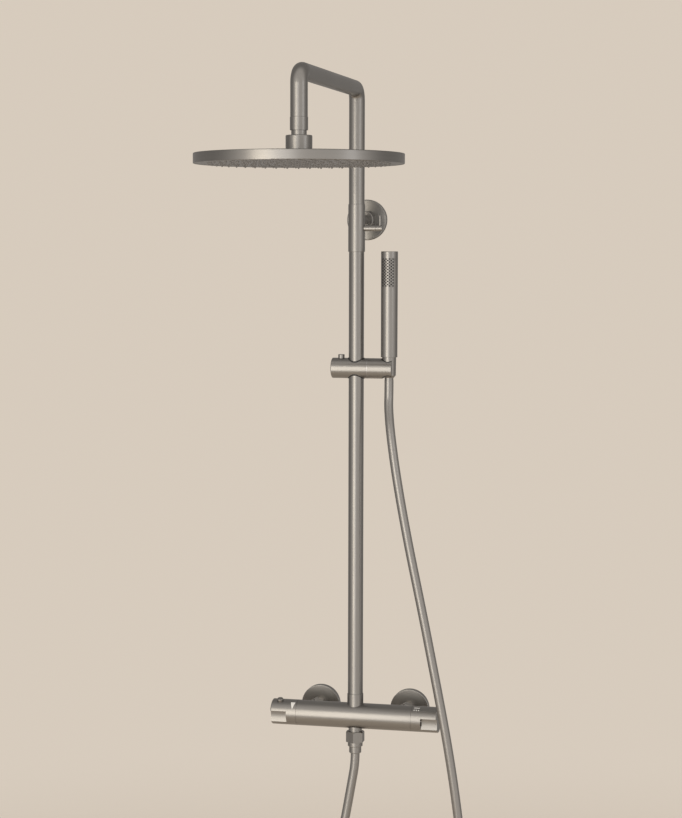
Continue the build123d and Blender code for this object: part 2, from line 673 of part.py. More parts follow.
SEAT_R = BALL_R + 0.15
SEAT_OUTER_R = 15.0
SEAT_Z = 889.0
SEAT_HOLE_R = 7.0
HUB_THROAT_R = 10.3
HUB_THROAT_Z = 905.5
HUB_SPIGOT_Z = 879.0
SPIGOT_HOLE_R = 12.0
PLATE_TOP_Z = HEAD_LOW_Z + 0.4 + PLATE_T
MAT_T = 1.6

with BuildPart() as head_hub:
    rod(drop(HEAD_TOP_Z), UP, HUB_TOP_Z - HEAD_TOP_Z, HUB_R)
    fillet(end_rims(head_hub, Axis.Z), radius=1.4)
    funnel = [(0, HUB_THROAT_Z), (HUB_THROAT_R, HUB_THROAT_Z), (15, HUB_TOP_Z), (0, HUB_TOP_Z)]
    turn(drop(0), UP, funnel, Mode.SUBTRACT)
    rod(drop(HUB_SPIGOT_Z), UP, HEAD_TOP_Z - HUB_SPIGOT_Z, SPIGOT_HOLE_R - RUNNING)
    with Locations(drop(BALL_Z)):
        Sphere(SEAT_R, mode=Mode.SUBTRACT)
    rod(drop(SEAT_Z), UP, BALL_Z - SEAT_Z + 0.3, SEAT_OUTER_R, Mode.SUBTRACT)
    rod(drop(BALL_Z), UP, 20, HUB_THROAT_R, Mode.SUBTRACT)
    rod(drop(HUB_SPIGOT_Z), UP, 20, SEAT_HOLE_R, Mode.SUBTRACT)
head_hub.part.label = "head_hub"
export_step(head_hub.part, "parts/head_hub.step")

with BuildPart() as ball_seat:
    pipe(drop(SEAT_Z), UP, BALL_Z - SEAT_Z, SEAT_OUTER_R - SLIP, SEAT_HOLE_R)
    with Locations(drop(BALL_Z)):
        Sphere(SEAT_R, mode=Mode.SUBTRACT)
ball_seat.part.label = "ball_seat"
export_step(ball_seat.part, "parts/ball_seat.step")

with BuildPart() as head_casing:
    rod(drop(HEAD_LOW_Z), UP, HEAD_TOP_Z - HEAD_LOW_Z, HEAD_R)
    fillet(head_casing.edges().filter_by(GeomType.CIRCLE), radius=0.9)
    inner = HEAD_TOP_Z - HEAD_WALL - HEAD_LOW_Z
    rod(drop(HEAD_LOW_Z), UP, inner, HEAD_R - HEAD_WALL, Mode.SUBTRACT)
    rod(drop(HEAD_LOW_Z), UP, 30, SPIGOT_HOLE_R, Mode.SUBTRACT)
head_casing.part.label = "head_casing"
export_step(head_casing.part, "parts/head_casing.step")

with BuildPart() as head_ring_nut:
    pipe(drop(HEAD_TOP_Z - HEAD_WALL), DOWN, 4, 17, SPIGOT_HOLE_R)
head_ring_nut.part.label = "head_ring_nut"
export_step(head_ring_nut.part, "parts/head_ring_nut.step")


def nozzle_places(z):
    """Rings of six, twelve, eighteen and so on round the head's axis, with one in the middle."""
    places = [drop(z)]
    for ring in range(1, NOZZLE_RINGS + 1):
        for step in range(6 * ring):
            angle = 2 * pi * (step + 0.5 * (ring % 2)) / (6 * ring)
            radius = ring * NOZZLE_PITCH
            places.append((radius * cos(angle), AXIS_Y - REACH + radius * sin(angle), z))
    return places


with BuildPart() as head_face_plate:
    with BuildSketch(Plane(drop(PLATE_TOP_Z - PLATE_T))) as face:
        Circle(HEAD_R - HEAD_WALL - SLIP)
    extrude(amount=PLATE_T)
    with Locations(*nozzle_places(PLATE_TOP_Z)):
        Hole(NOZZLE_BASE_R + SLIP, depth=PLATE_T)
head_face_plate.part.label = "head_face_plate"
export_step(head_face_plate.part, "parts/head_face_plate.step")

with BuildPart() as nozzle_mat:
    rod(drop(PLATE_TOP_Z), UP, MAT_T, HEAD_R - HEAD_WALL - 6)
    with Locations(*nozzle_places(PLATE_TOP_Z - (PLATE_T + NOZZLE_DROP) / 2 + 0.05)):
        Cone(NOZZLE_TIP_R, NOZZLE_BASE_R, PLATE_T + NOZZLE_DROP + 0.1)
nozzle_mat.part.label = "nozzle_mat"
export_step(nozzle_mat.part, "parts/nozzle_mat.step")

# Slider -------------------------------------------------------------------------------------

BUTTON_HOLE_Z = SLIDER_Z - 4.5
LOCK_BUTTON_LOW_Z = SLIDER_Z + 5.5
WASHER_HALF = 0.4
PIVOT_X = (14.4, 36.0)

with BuildPart() as slider_liner:
    rod(column(SLIDER_Z - 20), UP, 40, LINER_R)
    rod(slide(-20), RIGHT, 40, SLIDER_R + 0.5, Mode.INTERSECT)
    rod(column(SLIDER_Z - 20), UP, 40, RISER_R + RUNNING, Mode.SUBTRACT)
slider_liner.part.label = "slider_liner"
export_step(slider_liner.part, "parts/slider_liner.step")

with BuildPart() as slider_body:
    rod(slide(SLIDER_LEFT), RIGHT, SLIDER_PARTING - WASHER_HALF - SLIDER_LEFT, SLIDER_R)
    fillet(end_rims(slider_body, Axis.X, 0), radius=1.2)
    rod(column(SLIDER_Z - 20), UP, 40, LINER_R + RUNNING, Mode.SUBTRACT)
    rod((LOCK_BUTTON_X, AXIS_Y, BUTTON_HOLE_Z), UP, 30, LOCK_BUTTON_R + SLIP, Mode.SUBTRACT)
    rod(slide(LOCK_BUTTON_X), RIGHT, 12, 3.5, Mode.SUBTRACT)
    rod(slide(0), RIGHT, 30, PIVOT_R, Mode.SUBTRACT)
slider_body.part.label = "slider_body"
export_step(slider_body.part, "parts/slider_body.step")

with BuildPart() as brake_pad:
    rod(slide(LOCK_BUTTON_X + 5.2), RIGHT, 9, 3.4)
    rod(column(SLIDER_Z - 20), UP, 40, LINER_R + 0.15, Mode.SUBTRACT)
brake_pad.part.label = "brake_pad"
export_step(brake_pad.part, "parts/brake_pad.step")

with BuildPart() as slider_button:
    start = (LOCK_BUTTON_X, AXIS_Y, LOCK_BUTTON_LOW_Z)
    rod(start, UP, LOCK_BUTTON_TOP_Z - LOCK_BUTTON_LOW_Z, LOCK_BUTTON_R)
    fillet(end_rims(slider_button, Axis.Z), radius=0.8)
slider_button.part.label = "slider_button"
export_step(slider_button.part, "parts/slider_button.step")

with BuildPart() as slider_spring:
    start = (LOCK_BUTTON_X, AXIS_Y, BUTTON_HOLE_Z + 0.05)
    coil(start, UP, LOCK_BUTTON_LOW_Z - BUTTON_HOLE_Z - 0.1, 3.4, 0.4, 5)
slider_spring.part.label = "slider_spring"
export_step(slider_spring.part, "parts/slider_spring.step")

with BuildPart() as pivot_axle:
    rod(slide(PIVOT_X[0]), RIGHT, PIVOT_X[1] - PIVOT_X[0], PIVOT_R)
pivot_axle.part.label = "pivot_axle"
export_step(pivot_axle.part, "parts/pivot_axle.step")

with BuildPart() as pivot_washer:
    start = slide(SLIDER_PARTING - WASHER_HALF)
    pipe(start, RIGHT, 2 * WASHER_HALF - RUNNING, SLIDER_R - 0.7, PIVOT_R)
pivot_washer.part.label = "pivot_washer"
export_step(pivot_washer.part, "parts/pivot_washer.step")

# Handset holder -----------------------------------------------------------------------------

with BuildPart() as holder_body:
    start_x = SLIDER_PARTING + WASHER_HALF
    rod(slide(start_x), RIGHT, HOLDER_END - start_x, SLIDER_R)
    fillet(end_rims(holder_body, Axis.X), radius=0.7)
    rod(socket(SLIDER_Z - 20), UP, 40, SOCKET_R, Mode.SUBTRACT)
    bore = PIVOT_X[1] + 2 * SLIP - SLIDER_PARTING
    rod(slide(SLIDER_PARTING), RIGHT, bore, PIVOT_R + RUNNING, Mode.SUBTRACT)
holder_body.part.label = "holder_body"
export_step(holder_body.part, "parts/holder_body.step")

with BuildPart() as holder_insert:
    rod(socket(SLIDER_Z - 20), UP, 40, SOCKET_R - SLIP / 2)
    rod(slide(30), RIGHT, HOLDER_END - 30.3, SLIDER_R - 0.1, Mode.INTERSECT)
    turn(socket(0), UP, [(0, 540), (10.8, 540), (11.55, 582), (0, 582)], Mode.SUBTRACT)
holder_insert.part.label = "holder_insert"
export_step(holder_insert.part, "parts/holder_insert.step")

# Handset ------------------------------------------------------------------------------------

HANDSET_BORE_R = HANDSET_LOW_R - HANDSET_WALL
TAIL_R = 8.0
TAIL_Z = 568.0
TUBE_R = 7.0
SPRAY_SUNK = 0.25  # how far the spray face lies under the handset's skin

spray_window = Plane((HANDSET_X, AXIS_Y, sum(SPRAY_Z) / 2), x_dir=RIGHT, z_dir=FRONT)

with BuildPart() as handset_body:
    low, high = HANDSET_Z
    turn(socket(0), UP, [(0, low), (HANDSET_LOW_R, low), (HANDSET_TOP_R, high), (0, high)])
    fillet(end_rims(handset_body, Axis.Z), radius=0.9)
    fillet(end_rims(handset_body, Axis.Z, 0), radius=0.4)
    rod(socket(low + 3), UP, high - low - 5, HANDSET_BORE_R, Mode.SUBTRACT)
    rod(socket(TAIL_Z), UP, 20, TAIL_R)
    rod(socket(TAIL_Z), UP, 20, TAIL_R - 2, Mode.SUBTRACT)
    with BuildSketch(spray_window):
        RectangleRounded(2 * SPRAY_HALF + 0.2, SPRAY_Z[1] - SPRAY_Z[0] + 0.2, 1.5)
    extrude(amount=20, mode=Mode.SUBTRACT)
handset_body.part.label = "handset_body"
export_step(handset_body.part, "parts/handset_body.step")

with BuildPart() as spray_face:
    with BuildSketch(spray_window):
        RectangleRounded(2 * SPRAY_HALF, SPRAY_Z[1] - SPRAY_Z[0], 1.4)
    extrude(amount=20)
    height = SPRAY_Z[1] - SPRAY_Z[0] + 2
    outer = HANDSET_TOP_R - SPRAY_SUNK
    pipe(socket(SPRAY_Z[0] - 1), UP, height, outer, HANDSET_BORE_R, Mode.INTERSECT)
spray_face.part.label = "spray_face"
export_step(spray_face.part, "parts/spray_face.step")

with BuildPart() as handset_tube:
    pipe(socket(TAIL_Z + 20), UP, SPRAY_Z[1] - TAIL_Z - 20, TUBE_R, TUBE_R - 1)
handset_tube.part.label = "handset_tube"
export_step(handset_tube.part, "parts/handset_tube.step")

with BuildPart() as hose_cone:
    cone = [(0, HANDSET_Z[0]), (CONE_R[0], HANDSET_Z[0]), (CONE_R[1], CONE_LOW_Z)]
    collar = [(7.6, 547.2), (6.95, 547.2), (6.95, CONE_END_Z), (0, CONE_END_Z)]
    turn(socket(0), UP, cone + collar)
    rod(socket(TAIL_Z - 2), UP, 20, TAIL_R + RUNNING, Mode.SUBTRACT)
    rod(socket(CONE_END_Z + 4), UP, 30, 4, Mode.SUBTRACT)
hose_cone.part.label = "hose_cone"
export_step(hose_cone.part, "parts/hose_cone.step")
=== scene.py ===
import json
import math

import bpy
from bpy.props import FloatProperty, FloatVectorProperty, IntProperty, PointerProperty
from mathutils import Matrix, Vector


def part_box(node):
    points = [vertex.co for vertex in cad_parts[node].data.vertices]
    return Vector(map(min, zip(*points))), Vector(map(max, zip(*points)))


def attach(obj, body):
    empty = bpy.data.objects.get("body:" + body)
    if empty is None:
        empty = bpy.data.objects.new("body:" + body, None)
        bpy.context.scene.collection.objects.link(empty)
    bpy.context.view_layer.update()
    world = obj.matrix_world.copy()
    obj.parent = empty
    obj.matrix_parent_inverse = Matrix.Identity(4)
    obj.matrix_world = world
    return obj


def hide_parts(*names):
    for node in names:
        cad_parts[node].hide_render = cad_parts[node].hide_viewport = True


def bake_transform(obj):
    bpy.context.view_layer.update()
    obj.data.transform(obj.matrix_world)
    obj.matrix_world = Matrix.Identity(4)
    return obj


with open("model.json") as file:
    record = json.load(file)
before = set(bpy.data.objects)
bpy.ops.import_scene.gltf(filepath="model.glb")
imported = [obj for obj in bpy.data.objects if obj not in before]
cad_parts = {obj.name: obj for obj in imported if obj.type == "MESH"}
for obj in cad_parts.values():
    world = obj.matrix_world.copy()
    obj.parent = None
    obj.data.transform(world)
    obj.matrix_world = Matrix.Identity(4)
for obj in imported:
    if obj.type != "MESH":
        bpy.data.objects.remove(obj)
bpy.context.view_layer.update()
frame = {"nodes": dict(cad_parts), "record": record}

bl_info = {
    "name": "Rainfall Shower Column",
    "version": (1, 0, 0),
    "blender": (4, 5, 0),
    "location": "3D View > Sidebar > Shower",
    "description": "Nozzles, hose, threads and brushed gun-metal finishes for a wall-mounted shower column",
    "category": "Add Mesh",
}

FULL_TURN = 2 * math.pi
CIRCLE_SIDES = 48


def middle(node):
    """Middle of a CAD node's box, in metres."""
    low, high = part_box(node)
    return (low + high) / 2


VALVE = middle("valve_body")
RISER = middle("riser_tube")
HANDSET = middle("handset_tube")
HEAD = middle("head_face_plate")
INLET = Vector((0.075, 0, 0))  # one of the two wall inlets; its twin is at -X
VALVE_AXIS = Vector((0, RISER.y, 0))
BRASS = (0.72, 0.52, 0.24)
UPPER_ROSE_PAINTED_SHADE = (0.250, 0.243, 0.232)  # painted shade: a little darker than the other gun-metal, standing in for the wall's shadow round the upper rose
ROOM_WARMTH = (1.0, 0.94, 0.88)
LOOP_REACH = 0.135  # how far to the right of the valve's middle the hose's loop turns upwards
SPIRAL_PITCH = 0.0022  # one turn of the hose's reinforcement
WALL_FACE = 0.0001  # the wall's surface, with a hair's breadth to spare
NOISE_SPAN = (0.3, 0.7)  # where nearly all of a noise texture's values lie
FLOOR_RADIUS = 4.5
FLOOR_FADE = (1.6, 4.2)  # distances between which the floor fades away
FLOOR_GLOW = 0.22
ROOM_TURN = math.radians(18)  # how far right of the front the room's bright side lies
ROOM_FLATTEN = 0.4  # below 1, the bright side reaches higher and lower
ROOM_SPREAD = (-0.2, 0.62)  # from where the room starts to brighten to where it is brightest
ROOM_STRENGTH = (0.34, 0.90)
CAMERA_PLACE = (0.7562, -3.3115, 0.7504)
CAMERA_TURN = (math.pi / 2 - 0.0764, -0.0023, 0.2372)

# The hose hangs from the valve's ferrule in a loop and rises to the handset's cone. Metres.
HOSE_ROUTE = [
    (0, -0.078, -0.0605),
    (0, -0.078, -0.078),
    (-0.0055, -0.0785, -0.110),
    (-0.016, -0.080, -0.171),
    (-0.029, -0.083, -0.235),
    (-0.037, -0.087, -0.302),
    (-0.029, -0.091, -0.368),
    (0.006, -0.095, -0.418),
    (0.062, -0.099, -0.440),
    (0.123, -0.103, -0.426),
    (0.168, -0.106, -0.379),
    (0.187, -0.109, -0.312),
    (0.187, -0.111, -0.240),
    (0.178, -0.112, -0.165),
    (0.168, -0.113, -0.090),
    (0.1545, -0.1135, -0.010),
    (0.1375, -0.114, 0.076),
    (0.116, -0.114, 0.182),
    (0.092, -0.113, 0.292),
    (0.073, -0.110, 0.391),
    (0.061, -0.100, 0.460),
    (0.054, -0.0835, 0.500),
    (0.0535, -0.078, 0.521),
    (0.0535, -0.078, 0.5435),
]


# Settings -------------------------------------------------------------------------------


class MetalSettings(bpy.types.PropertyGroup):
    colour: FloatVectorProperty(
        name="Colour",
        description="Colour of the gun-metal coating",
        subtype="COLOR",
        default=(0.302, 0.293, 0.280),
        min=0,
        max=1,
    )
    roughness: FloatProperty(
        name="Roughness", description="How satin the coating is", default=0.33, min=0, max=1
    )
    grain_depth: FloatProperty(
        name="Grain depth",
        description="Depth of the brushing marks",
        default=0.0000025,
        min=0,
        precision=7,
        unit="LENGTH",
    )


class HoseSettings(bpy.types.PropertyGroup):
    diameter: FloatProperty(
        name="Diameter", description="Outside diameter of the hose", default=0.0144, unit="LENGTH"
    )
    ring_step: FloatProperty(
        name="Ring step",
        description="Distance between two rings of the hose's mesh",
        default=0.0025,
        unit="LENGTH",
    )
    sides: IntProperty(name="Sides", description="Faces round the hose", default=32, min=8)
    slide_top: FloatProperty(
        name="Loop end",
        description="Height where the loop ends and the rising stretch starts",
        default=0.05,
        unit="LENGTH",
    )
    turn_top: FloatProperty(
        name="Rise end",
        description="Height where the rising stretch ends",
        default=0.365,
        unit="LENGTH",
    )
    tilt_top: FloatProperty(
        name="Bend end",
        description="Height where the stretch that bends with the holder ends",
        default=0.455,
        unit="LENGTH",
    )


class RainSettings(bpy.types.PropertyGroup):
    rings: IntProperty(name="Rings", description="Rings of nozzles round the middle one", default=8)
    pitch: FloatProperty(
        name="Pitch", description="Distance between two rings", default=0.016, unit="LENGTH"
    )
    base_radius: FloatProperty(
        name="Base radius", description="Radius of a nozzle's foot", default=0.0023, unit="LENGTH"
    )
    height: FloatProperty(
        name="Height", description="How far a nozzle stands out", default=0.0026, unit="LENGTH"
    )


class SpraySettings(bpy.types.PropertyGroup):
    columns: IntProperty(name="Columns", description="Columns of nozzles on the handset", default=7)
    rows: IntProperty(name="Rows", description="Nozzles in the tallest columns", default=10)
    row_pitch: FloatProperty(
        name="Row pitch", description="Height from row to row in a column", default=0.0047, unit="LENGTH"
    )
    column_pitch: FloatProperty(
        name="Column pitch", description="Arc between columns", default=0.00287, unit="LENGTH"
    )
    nozzle_radius: FloatProperty(
        name="Nozzle radius", description="Radius of a soft nozzle", default=0.00138, unit="LENGTH"
    )


class ThreadSettings(bpy.types.PropertyGroup):
    crest_radius: FloatProperty(
        name="Crest radius", description="G1/2 crest radius", default=0.01048, unit="LENGTH"
    )
    depth: FloatProperty(
        name="Depth", description="Depth of the thread", default=0.00116, unit="LENGTH"
    )
    pitch: FloatProperty(
        name="Pitch", description="G1/2 pitch, 14 turns to the inch", default=0.001814, unit="LENGTH"
    )


class StudioSettings(bpy.types.PropertyGroup):
    lens: FloatProperty(name="Lens", description="Focal length in millimetres", default=91.78)
    key_power: FloatProperty(name="Key", description="Power of the tall key light", default=8.2, unit="POWER")
    wash_power: FloatProperty(
        name="Wash", description="Power of the weaker light beside the key", default=4.4, unit="POWER"
    )
    strip_power: FloatProperty(
        name="Strip", description="Power of the strip on the right", default=0.8, unit="POWER"
    )
    floor_z: FloatProperty(
        name="Floor height", description="Height of the shower floor", default=-1.05, unit="LENGTH"
    )
    pale: FloatVectorProperty(
        name="Pale",
        description="Colour of floor and background",
        subtype="COLOR",
        default=(0.68, 0.60, 0.51),
        min=0,
        max=1,
    )


# Mesh tools -----------------------------------------------------------------------------


def clear_selection():
    """Object mode, with nothing selected."""
    if bpy.context.object and bpy.context.object.mode != "OBJECT":
        bpy.ops.object.mode_set(mode="OBJECT")
    bpy.ops.object.select_all(action="DESELECT")


def turned(name, outline, sides=CIRCLE_SIDES, ring=False):
    """A turned piece about +Z. The outline is (radius, height) steps from one end to the other.
    With ring, the outline is a closed loop, so that the piece has a bore."""
    clear_selection()
    radius, height = outline[0]
    bpy.ops.mesh.primitive_circle_add(
        vertices=sides, radius=radius, fill_type="NOTHING", location=(0, 0, height)
    )
    piece = bpy.context.object
    piece.name = name
    piece.data.name = name
    bpy.ops.object.mode_set(mode="EDIT")
    steps = outline[1:] + outline[:1] if ring else outline[1:]
    for next_radius, next_height in steps:
        rise = (0, 0, next_height - height)
        bpy.ops.mesh.extrude_region_move(TRANSFORM_OT_translate={"value": rise})
        factor = next_radius / radius
        if factor != 1:
            bpy.ops.transform.resize(value=(factor, factor, 1), center_override=(0, 0, next_height))
        radius, height = next_radius, next_height
    bpy.ops.mesh.select_all(action="SELECT")
    bpy.ops.mesh.remove_doubles(threshold=1e-7)
    bpy.ops.mesh.fill_holes(sides=0)
    bpy.ops.mesh.normals_make_consistent(inside=False)
    bpy.ops.object.mode_set(mode="OBJECT")
    bpy.ops.object.transform_apply(location=True, rotation=True, scale=True)
    return piece


def place(piece, start, direction=(0, 0, 1)):
    """Points a piece's +Z along a direction, moves it to its place and applies both."""
    clear_selection()
    piece.rotation_mode = "XYZ"
    piece.rotation_euler = Vector((0, 0, 1)).rotation_difference(Vector(direction)).to_euler()
    piece.location = start
    piece.select_set(True)
    bpy.context.view_layer.objects.active = piece
    bpy.ops.object.transform_apply(location=True, rotation=True, scale=True)


def copies(piece, name, places):
    """One object made of copies of a piece, one at each (start, direction)."""
    made = []
    for start, direction in places:
        clear_selection()
        piece.select_set(True)
        bpy.context.view_layer.objects.active = piece
        bpy.ops.object.duplicate(linked=False)
        copy = bpy.context.object
        place(copy, start, direction)
        made.append(copy)
    bpy.data.meshes.remove(piece.data)
    return joined(made, name)


def joined(pieces, name):
    clear_selection()
    for piece in pieces:
        piece.select_set(True)
    bpy.context.view_layer.objects.active = pieces[0]
    bpy.ops.object.join()
    whole = bpy.context.object
    whole.name = name
    whole.data.name = name
    return whole


def smooth(piece, angle=35):
    clear_selection()
    piece.select_set(True)
    bpy.context.view_layer.objects.active = piece
    bpy.ops.object.shade_smooth_by_angle(angle=math.radians(angle))


def dress(piece, material):
    piece.data.materials.clear()
    piece.data.materials.append(material)


# Shader groups --------------------------------------------------------------------------


def shader_group(name, inputs, outputs):
    """A new node group with float or vector inputs and float outputs, and its two end nodes."""
    group = bpy.data.node_groups.new(name, "ShaderNodeTree")
    for socket, kind, value in inputs:
        made = group.interface.new_socket(socket, in_out="INPUT", socket_type=kind)
        if value is not None:
            made.default_value = value
    for socket in outputs:
        group.interface.new_socket(socket, in_out="OUTPUT", socket_type="NodeSocketFloat")
    return group, group.nodes.new("NodeGroupInput"), group.nodes.new("NodeGroupOutput")


def math_node(tree, operation, first, second=None, third=None):
    node = tree.nodes.new("ShaderNodeMath")
    node.operation = operation
    for socket, value in zip(node.inputs, (first, second, third)):
        if value is None:
            continue
        if isinstance(value, (int, float)):
            socket.default_value = value
        else:
            tree.links.new(value, socket)
    return node.outputs["Value"]


def noise_node(tree, vector, scale, detail):
    node = tree.nodes.new("ShaderNodeTexNoise")
    node.inputs["Detail"].default_value = detail
    if isinstance(scale, (int, float)):
        node.inputs["Scale"].default_value = scale
    else:
        tree.links.new(scale, node.inputs["Scale"])
    tree.links.new(vector, node.inputs["Vector"])
    return node.outputs["Fac"]


def stretched(tree, vector, scale):
    node = tree.nodes.new("ShaderNodeVectorMath")
    node.operation = "MULTIPLY"
    tree.links.new(vector, node.inputs[0])
    node.inputs[1].default_value = scale
    return node.outputs["Vector"]


def brushed_group():
    """Long fine marks along the vector's Z, as a belt leaves them on a bar or tube."""
    inputs = [("Vector", "NodeSocketVector", None), ("Fineness", "NodeSocketFloat", 1300)]
    group, start, end = shader_group("Brushed Grain", inputs, ["Height", "Tone"])
    fine = stretched(group, start.outputs["Vector"], (1, 1, 0.018))
    marks = noise_node(group, fine, start.outputs["Fineness"], 3)
    coarse = stretched(group, start.outputs["Vector"], (1, 1, 0.05))
    streaks = noise_node(group, coarse, 240, 2)
    group.links.new(marks, end.inputs["Height"])
    tone = math_node(group, "MULTIPLY_ADD", streaks, 0.5, math_node(group, "MULTIPLY", marks, 0.5))
    group.links.new(tone, end.inputs["Tone"])
    return group


def turned_group():
    """Fine rings about the vector's Z, as a lathe leaves them on a disc."""
    inputs = [("Vector", "NodeSocketVector", None), ("Fineness", "NodeSocketFloat", 1300)]
    group, start, end = shader_group("Turned Grain", inputs, ["Height", "Tone"])
    flat = stretched(group, start.outputs["Vector"], (1, 1, 0))
    length = group.nodes.new("ShaderNodeVectorMath")
    length.operation = "LENGTH"
    group.links.new(flat, length.inputs[0])
    parts = group.nodes.new("ShaderNodeSeparateXYZ")
    group.links.new(start.outputs["Vector"], parts.inputs[0])
    angle = math_node(group, "ARCTAN2", parts.outputs["Y"], parts.outputs["X"])
    rings = group.nodes.new("ShaderNodeCombineXYZ")
    group.links.new(length.outputs["Value"], rings.inputs["X"])
    group.links.new(math_node(group, "MULTIPLY", math_node(group, "SINE", angle), 0.0012), rings.inputs["Y"])
    group.links.new(parts.outputs["Z"], rings.inputs["Z"])
    marks = noise_node(group, rings.outputs["Vector"], start.outputs["Fineness"], 3)
    group.links.new(marks, end.inputs["Height"])
    broad = noise_node(group, rings.outputs["Vector"], 180, 2)
    tone = math_node(group, "MULTIPLY_ADD", broad, 0.5, math_node(group, "MULTIPLY", marks, 0.5))
    group.links.new(tone, end.inputs["Tone"])
    return group


def haze_group():
    """Broad, faint patches, as dried water and hands leave on a coating."""
    inputs = [("Vector", "NodeSocketVector", None), ("Patch", "NodeSocketFloat", 14)]
    group, start, end = shader_group("Surface Haze", inputs, ["Mask"])
    broad = noise_node(group, start.outputs["Vector"], start.outputs["Patch"], 4)
    group.links.new(math_node(group, "SMOOTH_MIN", broad, 0.75, 0.2), end.inputs["Mask"])
    return group


def speckle_group():
    """Tiny pits, as on moulded plastic and rubber."""
    inputs = [("Vector", "NodeSocketVector", None), ("Fineness", "NodeSocketFloat", 2200)]
    group, start, end = shader_group("Moulded Speckle", inputs, ["Height"])
    pits = noise_node(group, start.outputs["Vector"], start.outputs["Fineness"], 2)
    group.links.new(pits, end.inputs["Height"])
    return group


GROUP_MAKERS = {
    "Brushed Grain": brushed_group,
    "Turned Grain": turned_group,
    "Surface Haze": haze_group,
    "Moulded Speckle": speckle_group,
}


def group_node(tree, name):
    node = tree.nodes.new("ShaderNodeGroup")
    node.node_tree = bpy.data.node_groups.get(name) or GROUP_MAKERS[name]()
    return node


# Materials ------------------------------------------------------------------------------


def new_material(name):
    """A material with a Principled BSDF, and its tree and shader."""
    material = bpy.data.materials.new(name)
    material.use_nodes = True
    tree = material.node_tree
    return material, tree, tree.nodes["Principled BSDF"]


def object_vector(tree, centre=(0, 0, 0), turn=(0, 0, 0), twin=False):
    """Object coordinates moved so that centre is the origin, then turned. For a twin piece, with
    one half on each side of X = 0, the left half is folded onto the right one first."""
    coordinates = tree.nodes.new("ShaderNodeTexCoord")
    source = coordinates.outputs["Object"]
    if twin:
        parts = tree.nodes.new("ShaderNodeSeparateXYZ")
        tree.links.new(source, parts.inputs[0])
        folded = tree.nodes.new("ShaderNodeCombineXYZ")
        tree.links.new(math_node(tree, "ABSOLUTE", parts.outputs["X"]), folded.inputs["X"])
        tree.links.new(parts.outputs["Y"], folded.inputs["Y"])
        tree.links.new(parts.outputs["Z"], folded.inputs["Z"])
        source = folded.outputs["Vector"]
    moved = tree.nodes.new("ShaderNodeMapping")
    moved.inputs["Location"].default_value = [-value for value in centre]
    tree.links.new(source, moved.inputs["Vector"])
    mapped = tree.nodes.new("ShaderNodeMapping")
    mapped.inputs["Rotation"].default_value = turn
    tree.links.new(moved.outputs["Vector"], mapped.inputs["Vector"])
    return mapped.outputs["Vector"]


def range_node(tree, value, low, high):
    node = tree.nodes.new("ShaderNodeMapRange")
    tree.links.new(value, node.inputs["Value"])
    node.inputs["From Min"].default_value, node.inputs["From Max"].default_value = NOISE_SPAN
    node.inputs["To Min"].default_value = low
    node.inputs["To Max"].default_value = high
    return node.outputs["Result"]


def tint_node(tree, value, dark, light):
    """A colour between dark and light by a 0 to 1 value."""
    node = tree.nodes.new("ShaderNodeMix")
    node.data_type = "RGBA"
    tree.links.new(value, node.inputs["Factor"])
    colours = [socket for socket in node.inputs if socket.type == "RGBA"]
    colours[0].default_value = (*dark, 1)
    colours[1].default_value = (*light, 1)
    return next(socket for socket in node.outputs if socket.type == "RGBA")


def bump_node(tree, height, shader, depth):
    node = tree.nodes.new("ShaderNodeBump")
    node.inputs["Distance"].default_value = depth
    tree.links.new(height, node.inputs["Height"])
    tree.links.new(node.outputs["Normal"], shader.inputs["Normal"])


# Turns that bring an axis to Z, where the grain groups expect it.
TO_Z = {"X": (0, -math.pi / 2, 0), "Y": (math.pi / 2, 0, 0), "Z": (0, 0, 0)}


def metal(name, grain, axis, centre=(0, 0, 0), colour=None, spread=0.05, roughness=None, twin=False):
    """A machined metal. grain is Brushed Grain along the axis or Turned Grain about it."""
    settings = bpy.context.scene.shower_metal
    colour = Vector(colour or settings.colour)
    roughness = roughness or settings.roughness
    material, tree, shader = new_material(name)
    vector = object_vector(tree, centre, TO_Z[axis], twin)
    marks = group_node(tree, grain)
    tree.links.new(vector, marks.inputs["Vector"])
    haze = group_node(tree, "Surface Haze")
    tree.links.new(vector, haze.inputs["Vector"])
    tone = range_node(tree, marks.outputs["Tone"], 0, 1)
    tint = tint_node(tree, tone, colour * (1 - spread), colour * (1 + spread))
    tree.links.new(tint, shader.inputs["Base Color"])
    shader.inputs["Metallic"].default_value = 1
    base = range_node(tree, haze.outputs["Mask"], roughness - 0.025, roughness + 0.025)
    lowered = math_node(tree, "SUBTRACT", base, 0.03)
    rough = math_node(tree, "MULTIPLY_ADD", marks.outputs["Height"], 0.06, lowered)
    tree.links.new(rough, shader.inputs["Roughness"])
    bump_node(tree, marks.outputs["Height"], shader, settings.grain_depth)
    return material


def moulded(name, dark, light, roughness, depth=0.00001, fineness=2200):
    """Plastic or rubber with a fine moulded speckle."""
    material, tree, shader = new_material(name)
    vector = object_vector(tree)
    speckle = group_node(tree, "Moulded Speckle")
    speckle.inputs["Fineness"].default_value = fineness
    tree.links.new(vector, speckle.inputs["Vector"])
    haze = group_node(tree, "Surface Haze")
    haze.inputs["Patch"].default_value = 60
    tree.links.new(vector, haze.inputs["Vector"])
    mask = range_node(tree, haze.outputs["Mask"], 0, 1)
    tree.links.new(tint_node(tree, mask, dark, light), shader.inputs["Base Color"])
    rough = range_node(tree, haze.outputs["Mask"], roughness - 0.05, roughness + 0.05)
    tree.links.new(rough, shader.inputs["Roughness"])
    bump_node(tree, speckle.outputs["Height"], shader, depth)
    return material


